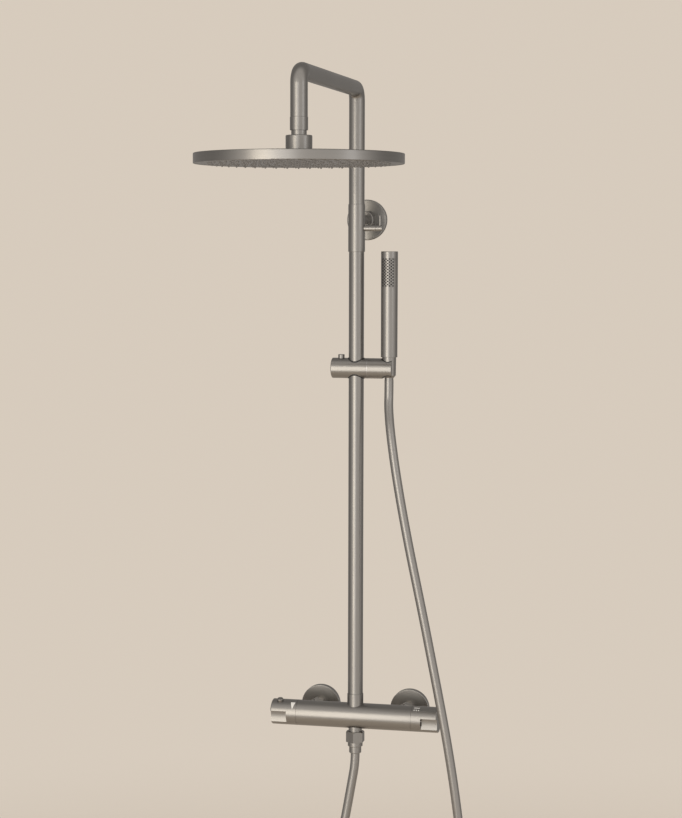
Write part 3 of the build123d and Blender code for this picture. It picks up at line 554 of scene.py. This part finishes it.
def hose_skin():
    """Smooth metal-grey hose with the faint spiral of its reinforcement under the skin."""
    settings = bpy.context.scene.shower_metal
    material, tree, shader = new_material("hose_skin")
    coordinates = tree.nodes.new("ShaderNodeUVMap")
    coordinates.uv_map = "along"
    parts = tree.nodes.new("ShaderNodeSeparateXYZ")
    tree.links.new(coordinates.outputs["UV"], parts.inputs[0])
    turns = math_node(tree, "MULTIPLY_ADD", parts.outputs["Y"], 1 / SPIRAL_PITCH, parts.outputs["X"])
    wave = math_node(tree, "SINE", math_node(tree, "MULTIPLY", turns, FULL_TURN))
    spiral = math_node(tree, "MULTIPLY_ADD", wave, 0.5, 0.5)
    haze = group_node(tree, "Surface Haze")
    haze.inputs["Patch"].default_value = 30
    tree.links.new(object_vector(tree), haze.inputs["Vector"])
    colour = Vector(settings.colour)
    tree.links.new(tint_node(tree, spiral, colour, colour * 1.1), shader.inputs["Base Color"])
    shader.inputs["Metallic"].default_value = 0.9
    tree.links.new(range_node(tree, haze.outputs["Mask"], 0.3, 0.36), shader.inputs["Roughness"])
    bump_node(tree, spiral, shader, 0.000012)
    return material


def union_finish():
    """Turned brass on the thread inside the wall, gun-metal on the part in front of it."""
    settings = bpy.context.scene.shower_metal
    material, tree, shader = new_material("plated_union")
    vector = object_vector(tree, INLET, TO_Z["Y"], twin=True)
    marks = group_node(tree, "Turned Grain")
    tree.links.new(vector, marks.inputs["Vector"])
    parts = tree.nodes.new("ShaderNodeSeparateXYZ")
    tree.links.new(object_vector(tree), parts.inputs[0])
    plated = math_node(tree, "LESS_THAN", parts.outputs["Y"], WALL_FACE)
    tone = math_node(tree, "MULTIPLY", plated, range_node(tree, marks.outputs["Tone"], 0.9, 1))
    tint = tint_node(tree, tone, BRASS, Vector(settings.colour))
    tree.links.new(tint, shader.inputs["Base Color"])
    shader.inputs["Metallic"].default_value = 1
    tree.links.new(range_node(tree, marks.outputs["Height"], 0.28, 0.36), shader.inputs["Roughness"])
    bump_node(tree, marks.outputs["Height"], shader, settings.grain_depth)
    return material


def all_materials():
    """Every finish, by name. Gun-metal pieces differ in the way they were brushed, and the upper rose's
    gun-metal is darkened as painted shade.
    """
    head = (HEAD.x, HEAD.y, 0)
    return {
        "bar": metal("gunmetal_bar", "Brushed Grain", "X"),
        "upright": metal("gunmetal_upright", "Brushed Grain", "Z"),
        "arm": metal("gunmetal_arm", "Brushed Grain", "Y"),
        "stem": metal("gunmetal_stem", "Brushed Grain", "Y"),
        "head": metal("gunmetal_head", "Turned Grain", "Z", head),
        "rose": metal("gunmetal_rose", "Turned Grain", "Y", INLET, twin=True),
        # painted shade: the upper rose's gun-metal is darkened for the wall's shadow
        "rose_upper_painted_shade": metal("gunmetal_rose_upper_painted_shade", "Turned Grain", "Y", middle("bracket_rose"), UPPER_ROSE_PAINTED_SHADE),
        "knob_end": metal("gunmetal_knob_end", "Turned Grain", "X", VALVE_AXIS),
        "brass": metal("turned_brass", "Turned Grain", "Y", (0, 0, 0), BRASS, 0.08, 0.3),
        "steel": metal("plain_steel", "Turned Grain", "Z", (0, 0, 0), (0.56, 0.56, 0.57), 0.06, 0.28),
        "union": union_finish(),
        "rubber": moulded("nozzle_rubber", (0.17, 0.165, 0.16), (0.21, 0.205, 0.20), 0.45),
        "seal": moulded("seal_rubber", (0.012, 0.012, 0.012), (0.02, 0.02, 0.02), 0.5),
        "plastic": moulded("dark_plastic", (0.02, 0.02, 0.021), (0.03, 0.03, 0.031), 0.4),
        "marking": moulded("white_enamel", (0.80, 0.80, 0.77), (0.86, 0.86, 0.83), 0.35, 0.000004),
        "hose": hose_skin(),
    }


SLOT_FINISH = {
    "gunmetal": "upright",
    "brass": "brass",
    "rubber": "seal",
    "plastic": "plastic",
    "steel": "steel",
    "marking": "marking",
    "hose": "hose",
}
NODE_FINISH = {
    "valve_body": "bar",
    "temperature_knob": "bar",
    "flow_knob": "bar",
    "temperature_cap": "knob_end",
    "flow_cap": "knob_end",
    "slider_body": "bar",
    "holder_body": "bar",
    "lock_boss": "bar",
    "lock_lever": "bar",
    "arm_tube": "arm",
    "bracket_stem": "stem",
    "union_nuts": "stem",
    "wall_roses": "rose",
    # painted shade: the upper rose takes the darkened gun-metal
    "bracket_rose": "rose_upper_painted_shade",
    "pivot_washer": "steel",
    "head_casing": "head",
    "head_hub": "upright",
    "head_face_plate": "head",
    "spray_face": "upright",
}


# Operators ------------------------------------------------------------------------------


class SHOWER_OT_camera(bpy.types.Operator):
    """Place the camera in front of the column, a little to the right and above"""

    bl_idname = "shower.camera"
    bl_label = "Place Camera"

    def execute(self, context):
        clear_selection()
        bpy.ops.object.camera_add(location=CAMERA_PLACE, rotation=CAMERA_TURN)
        camera = context.object
        camera.name = "column_camera"
        camera.data.lens = context.scene.shower_studio.lens
        camera.data.clip_end = 60
        context.scene.camera = camera
        return {"FINISHED"}


def route_line(points):
    """Points along the smooth line of a route, a NURBS spline of order 3 through its ends."""
    curve = bpy.data.curves.new("hose_route", "CURVE")
    curve.dimensions = "3D"
    curve.resolution_u = 48
    spline = curve.splines.new("NURBS")
    spline.points.add(len(points) - 1)
    for control, point in zip(spline.points, points):
        control.co = (*point, 1)
    spline.order_u = 3
    spline.use_endpoint_u = True
    carrier = bpy.data.objects.new("hose_route", curve)
    mesh = bpy.data.meshes.new_from_object(carrier)
    line = [vertex.co.copy() for vertex in mesh.vertices]
    bpy.data.meshes.remove(mesh)
    bpy.data.curves.remove(curve)
    return line


def even_line(line, step):
    """The same line with evenly spaced points about a step apart."""
    travelled = [0.0]
    for before, after in zip(line, line[1:]):
        travelled.append(travelled[-1] + (after - before).length)
    count = math.ceil(travelled[-1] / step)
    even, index = [], 0
    for number in range(count + 1):
        goal = travelled[-1] * number / count
        while index < len(line) - 2 and travelled[index + 1] < goal:
            index += 1
        span = travelled[index + 1] - travelled[index]
        share = (goal - travelled[index]) / span if span else 0
        even.append(line[index].lerp(line[index + 1], min(max(share, 0), 1)))
    return even


def tube_rings(line, radius, sides):
    """Rings round a line that don't twist, and the distance of each from the start."""
    rings, along = [], []
    side, travelled = Vector((1, 0, 0)), 0.0
    for index, point in enumerate(line):
        before, after = line[max(index - 1, 0)], line[min(index + 1, len(line) - 1)]
        ahead = (after - before).normalized()
        side = (side - ahead * side.dot(ahead)).normalized()
        other = ahead.cross(side)
        angles = [FULL_TURN * step / sides for step in range(sides)]
        rings.append([point + radius * (side * math.cos(a) + other * math.sin(a)) for a in angles])
        travelled += (point - line[max(index - 1, 0)]).length
        along.append(travelled)
    return rings, along


def tube_piece(name, rings, along, sides):
    """A closed tube through rings, with a UV map that runs round and along it."""
    points = [point for ring in rings for point in ring]
    faces = []
    for start in range(0, (len(rings) - 1) * sides, sides):
        for step in range(sides):
            beside = (step + 1) % sides
            faces.append((start + step, start + beside, start + sides + beside, start + sides + step))
    faces.append(tuple(reversed(range(sides))))
    faces.append(tuple(range(len(points) - sides, len(points))))
    mesh = bpy.data.meshes.new(name)
    mesh.from_pydata(points, [], faces)
    layer = mesh.uv_layers.new(name="along")
    for face in mesh.polygons:
        vertices = [mesh.loops[loop].vertex_index for loop in face.loop_indices]
        wraps = {vertex % sides for vertex in vertices} == {0, sides - 1}
        for loop, vertex in zip(face.loop_indices, vertices):
            step = vertex % sides
            round_share = (sides if wraps and step == 0 else step) / sides
            layer.data[loop].uv = (round_share, along[vertex // sides])
    piece = bpy.data.objects.new(name, mesh)
    bpy.context.scene.collection.objects.link(piece)
    smooth(piece, 50)
    return piece


class SHOWER_OT_hose(bpy.types.Operator):
    """Lay the hose from the valve, round its loop and up to the handset"""

    bl_idname = "shower.hose"
    bl_label = "Lay Hose"

    def execute(self, context):
        settings = context.scene.shower_hose
        line = even_line(route_line(HOSE_ROUTE), settings.ring_step)
        rings, along = tube_rings(line, settings.diameter / 2, settings.sides)
        lowest = min(range(len(line)), key=lambda index: line[index].z)
        heights = (settings.slide_top, settings.turn_top, settings.tilt_top)
        cuts = [next(i for i in range(lowest, len(line)) if line[i].z > height) for height in heights]
        if sorted(set(cuts)) != cuts:
            raise RuntimeError("the hose's stretches have to follow each other upwards")
        radius = settings.diameter / 2
        reach = VALVE + Vector((LOOP_REACH, 0, 0))
        # Each stretch lists the bodies at its two ends and two points where it would bend; only its name is
        # read below.
        stretches = [
            ("hose_loop", "root", "slider_liner", (radius + 0.0003, 0, 0), (reach.x, 0, 0)),
            ("hose_rise", "slider_liner", "slider", (0, 0, heights[0]), (0, 0, heights[1])),
            ("hose_bend", "slider", "holder", (0, 0, heights[1]), (0, 0, heights[2])),
            ("hose_end", "holder", "handset", (0, 0, heights[2]), (0, 0, line[-1].z - 0.01)),
        ]
        bounds = [0, *cuts, len(line) - 1]
        skin = bpy.data.materials["hose_skin"]
        for (name, lower, upper, start, end), first, last in zip(stretches, bounds, bounds[1:]):
            piece = tube_piece(name, rings[first : last + 1], along[first : last + 1], settings.sides)
            dress(piece, skin)
            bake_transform(piece)
            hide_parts("shower_hose")
        return {"FINISHED"}


class SHOWER_OT_rain_nozzles(bpy.types.Operator):
    """Fit the soft nozzles and their mat into the rain head"""

    bl_idname = "shower.rain_nozzles"
    bl_label = "Fit Rain Nozzles"

    def execute(self, context):
        settings = context.scene.shower_rain
        plate_low, plate_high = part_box("head_face_plate")
        mat_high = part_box("nozzle_mat")[1]
        base, tall = settings.base_radius, settings.height
        thick = plate_high.z - plate_low.z
        outline = [
            (base, -thick),
            (base, 0),
            (base * 1.08, 0.0001),
            (base * 0.74, tall * 0.3),
            (base * 0.52, tall * 0.8),
            (base * 0.44, tall),
            (base * 0.24, tall),
            (base * 0.20, tall * 0.6),
        ]
        nozzle = turned("rain_nozzle", outline, 12)
        below = (0, 0, -1)
        places = [((HEAD.x, HEAD.y, plate_low.z), below)]
        for ring in range(1, settings.rings + 1):
            for step in range(6 * ring):
                angle = FULL_TURN * (step + 0.5 * (ring % 2)) / (6 * ring)
                radius = ring * settings.pitch
                x, y = HEAD.x + radius * math.cos(angle), HEAD.y + radius * math.sin(angle)
                places.append(((x, y, plate_low.z), below))
        nozzles = copies(nozzle, "rain_nozzles", places)
        radius = (mat_high.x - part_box("nozzle_mat")[0].x) / 2
        thick = mat_high.z - plate_high.z
        mat = turned("rain_mat", [(radius, 0), (radius, thick)], 96)
        place(mat, (HEAD.x, HEAD.y, plate_high.z))
        piece = joined([nozzles, mat], "rain_nozzles")
        smooth(piece)
        dress(piece, bpy.data.materials["nozzle_rubber"])
        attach(piece, "head")
        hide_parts("nozzle_mat")
        return {"FINISHED"}


class SHOWER_OT_spray_nozzles(bpy.types.Operator):
    """Set staggered rows of soft nozzles in the handset's spray face"""

    bl_idname = "shower.spray_nozzles"
    bl_label = "Set Spray Nozzles"

    def execute(self, context):
        settings = context.scene.shower_spray
        low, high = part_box("spray_face")
        radius = HANDSET.y - low.y
        size = settings.nozzle_radius
        foot, shoulder, tip = -0.0006, 0.0001, 0.00025
        outline = [
            (size, foot),
            (size, shoulder),
            (size * 0.85, tip),
            (size * 0.3, tip),
            (size * 0.2, shoulder),
        ]
        nozzle = turned("spray_nozzle", outline, 12)
        centre_z = (low.z + high.z) / 2
        middle_column = (settings.columns - 1) / 2
        places = []
        for column in range(settings.columns):
            angle = (column - middle_column) * settings.column_pitch / radius
            out = Vector((math.sin(angle), -math.cos(angle), 0))
            count = settings.rows - column % 2
            for row in range(count):
                z = centre_z + (row - (count - 1) / 2) * settings.row_pitch
                places.append((Vector((HANDSET.x, HANDSET.y, z)) + out * radius, out))
        piece = copies(nozzle, "spray_nozzles", places)
        smooth(piece)
        dress(piece, bpy.data.materials["seal_rubber"])
        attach(piece, "handset")
        return {"FINISHED"}


class SHOWER_OT_inlet_threads(bpy.types.Operator):
    """Cut the threads on the two wall unions"""

    bl_idname = "shower.inlet_threads"
    bl_label = "Cut Inlet Threads"

    def execute(self, context):
        settings = context.scene.shower_thread
        low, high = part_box("wall_unions")
        bore, neck, collar = 0.008, 0.011, 0.01315
        nut_end = -0.030  # where the neck ends inside the union nut
        crest, root, pitch = settings.crest_radius, settings.crest_radius - settings.depth, settings.pitch
        outline = [(bore, high.y), (root, high.y)]
        turns = int((high.y - 0.001) / pitch)
        for turn in range(turns):
            top = high.y - 0.0004 - turn * pitch
            outline += [(root, top), (crest, top - pitch * 0.4)]
            outline += [(crest, top - pitch * 0.52), (root, top - pitch * 0.92)]
        outline += [(root, 0.0006), (neck, 0.0002), (neck, nut_end)]
        outline += [(collar, nut_end), (collar, low.y), (bore, low.y)]
        stud = turned("wall_union", outline, ring=True)
        places = [(side * INLET, (0, 1, 0)) for side in (-1, 1)]
        piece = copies(stud, "threaded_unions", places)
        smooth(piece, 25)
        dress(piece, bpy.data.materials["plated_union"])
        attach(piece, "root")
        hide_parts("wall_unions")
        return {"FINISHED"}


class SHOWER_OT_finishes(bpy.types.Operator):
    """Give every carried-over part its finish"""

    bl_idname = "shower.finishes"
    bl_label = "Apply Finishes"

    def execute(self, context):
        finishes = all_materials()
        slots = {row["node"]: row["material_slot"] for row in frame["record"]["subparts"]}
        for name, node in frame["nodes"].items():
            dress(node, finishes[NODE_FINISH.get(name) or SLOT_FINISH[slots[name]]])
        return {"FINISHED"}


def soft_box(name, centre, size, power, colour, aim):
    """An upright soft box that faces a point at its own height."""
    start = Vector(centre)
    turn = (Vector((aim.x, aim.y, start.z)) - start).to_track_quat("-Z", "Y").to_euler()
    clear_selection()
    bpy.ops.object.light_add(type="AREA", location=start, rotation=turn)
    box = bpy.context.object
    box.name = name
    box.visible_camera = False
    box.data.shape = "RECTANGLE"
    box.data.size, box.data.size_y = size
    box.data.energy = power
    box.data.color = colour


def studio_world(pale):
    """Pale to the eye. What the metal reflects is a dim room with a broad, softly lit front."""
    world = bpy.data.worlds.new("studio")
    bpy.context.scene.world = world
    world.use_nodes = True
    tree = world.node_tree
    background = tree.nodes["Background"]
    coordinates = tree.nodes.new("ShaderNodeTexCoord")
    flattened = stretched(tree, coordinates.outputs["Generated"], (1, 1, ROOM_FLATTEN))
    unit = tree.nodes.new("ShaderNodeVectorMath")
    unit.operation = "NORMALIZE"
    tree.links.new(flattened, unit.inputs[0])
    facing = tree.nodes.new("ShaderNodeVectorMath")
    facing.operation = "DOT_PRODUCT"
    facing.inputs[1].default_value = (math.sin(ROOM_TURN), -math.cos(ROOM_TURN), 0)
    tree.links.new(unit.outputs["Vector"], facing.inputs[0])
    ramp = tree.nodes.new("ShaderNodeMapRange")
    ramp.interpolation_type = "SMOOTHSTEP"
    tree.links.new(facing.outputs["Value"], ramp.inputs["Value"])
    ramp.inputs["From Min"].default_value, ramp.inputs["From Max"].default_value = ROOM_SPREAD
    ramp.inputs["To Min"].default_value, ramp.inputs["To Max"].default_value = ROOM_STRENGTH
    room = tree.nodes.new("ShaderNodeBackground")
    room.inputs["Color"].default_value = (*ROOM_WARMTH, 1)
    tree.links.new(ramp.outputs["Result"], room.inputs["Strength"])
    background.inputs["Color"].default_value = (*pale, 1)
    path = tree.nodes.new("ShaderNodeLightPath")
    mix = tree.nodes.new("ShaderNodeMixShader")
    tree.links.new(path.outputs["Is Camera Ray"], mix.inputs["Fac"])
    tree.links.new(room.outputs["Background"], mix.inputs[1])
    tree.links.new(background.outputs["Background"], mix.inputs[2])
    tree.links.new(mix.outputs["Shader"], tree.nodes["World Output"].inputs["Surface"])


def floor_material(pale):
    """Pale floor that fades out far from the object and isn't seen from below."""
    material, tree, shader = new_material("pale_floor")
    shader.inputs["Roughness"].default_value = 0.8
    shader.inputs["Emission Color"].default_value = (*pale, 1)
    shader.inputs["Emission Strength"].default_value = FLOOR_GLOW
    grain = noise_node(tree, object_vector(tree), 30, 4)
    tint = tint_node(tree, range_node(tree, grain, 0, 1), Vector(pale) * 0.985, pale)
    tree.links.new(tint, shader.inputs["Base Color"])
    coordinates = tree.nodes.new("ShaderNodeTexCoord")
    length = tree.nodes.new("ShaderNodeVectorMath")
    length.operation = "LENGTH"
    tree.links.new(coordinates.outputs["Object"], length.inputs[0])
    fade = tree.nodes.new("ShaderNodeMapRange")
    fade.interpolation_type = "SMOOTHSTEP"
    fade.inputs["From Min"].default_value, fade.inputs["From Max"].default_value = FLOOR_FADE
    fade.inputs["To Min"].default_value = 1
    fade.inputs["To Max"].default_value = 0
    tree.links.new(length.outputs["Value"], fade.inputs["Value"])
    geometry = tree.nodes.new("ShaderNodeNewGeometry")
    seen = math_node(tree, "SUBTRACT", 1.0, geometry.outputs["Backfacing"])
    tree.links.new(math_node(tree, "MULTIPLY", fade.outputs["Result"], seen), shader.inputs["Alpha"])
    return material


class SHOWER_OT_stage(bpy.types.Operator):
    """Add the pale floor, the soft lights and the background"""

    bl_idname = "shower.stage"
    bl_label = "Set Stage"

    def execute(self, context):
        settings = context.scene.shower_studio
        clear_selection()
        bpy.ops.mesh.primitive_circle_add(
            vertices=96, radius=FLOOR_RADIUS, fill_type="NGON", location=(0, 0, settings.floor_z)
        )
        floor = context.object
        floor.name = "studio_floor"
        bpy.ops.object.transform_apply(location=True, rotation=True, scale=True)
        dress(floor, floor_material(settings.pale))
        for name, centre, size, power, colour in (
            ("key_light", (-0.67, -1.97, 0.32), (0.60, 1.75), settings.key_power, (1, 0.91, 0.77)),
            ("wash_light", (-0.10, -2.05, 0.32), (0.72, 1.75), settings.wash_power, (1, 0.98, 0.95)),
            ("strip_light", (1.63, -1.01, 1.0), (0.3, 0.7), settings.strip_power, (0.95, 0.97, 1)),
        ):
            soft_box(name, centre, size, power, colour, RISER)
        studio_world(settings.pale)
        context.scene.view_settings.view_transform = "Standard"
        return {"FINISHED"}


class SHOWER_PT_panel(bpy.types.Panel):
    """Builds the shower column's visible pieces step by step"""

    bl_idname = "SHOWER_PT_panel"
    bl_label = "Shower Column"
    bl_space_type = "VIEW_3D"
    bl_region_type = "UI"
    bl_category = "Shower"

    def draw(self, context):
        for operator in OPERATORS:
            self.layout.operator(operator.bl_idname)
        for name in SETTINGS:
            group = getattr(context.scene, name)
            box = self.layout.box()
            for setting in group.__annotations__:
                box.prop(group, setting)


SETTINGS = {
    "shower_metal": MetalSettings,
    "shower_hose": HoseSettings,
    "shower_rain": RainSettings,
    "shower_spray": SpraySettings,
    "shower_thread": ThreadSettings,
    "shower_studio": StudioSettings,
}
OPERATORS = [
    SHOWER_OT_camera,
    SHOWER_OT_finishes,
    SHOWER_OT_hose,
    SHOWER_OT_rain_nozzles,
    SHOWER_OT_spray_nozzles,
    SHOWER_OT_inlet_threads,
    SHOWER_OT_stage,
]


def register():
    for settings in SETTINGS.values():
        bpy.utils.register_class(settings)
    for name, settings in SETTINGS.items():
        setattr(bpy.types.Scene, name, PointerProperty(type=settings))
    for operator in OPERATORS:
        bpy.utils.register_class(operator)
    bpy.utils.register_class(SHOWER_PT_panel)


def unregister():
    bpy.utils.unregister_class(SHOWER_PT_panel)
    for operator in reversed(OPERATORS):
        bpy.utils.unregister_class(operator)
    for name, settings in SETTINGS.items():
        delattr(bpy.types.Scene, name)
        bpy.utils.unregister_class(settings)


def main():
    register()
    bpy.ops.shower.camera()
    bpy.ops.shower.finishes()
    bpy.ops.shower.hose()
    bpy.ops.shower.rain_nozzles()
    bpy.ops.shower.spray_nozzles()
    bpy.ops.shower.inlet_threads()
    bpy.ops.shower.stage()


if __name__ == "__main__":
    main()
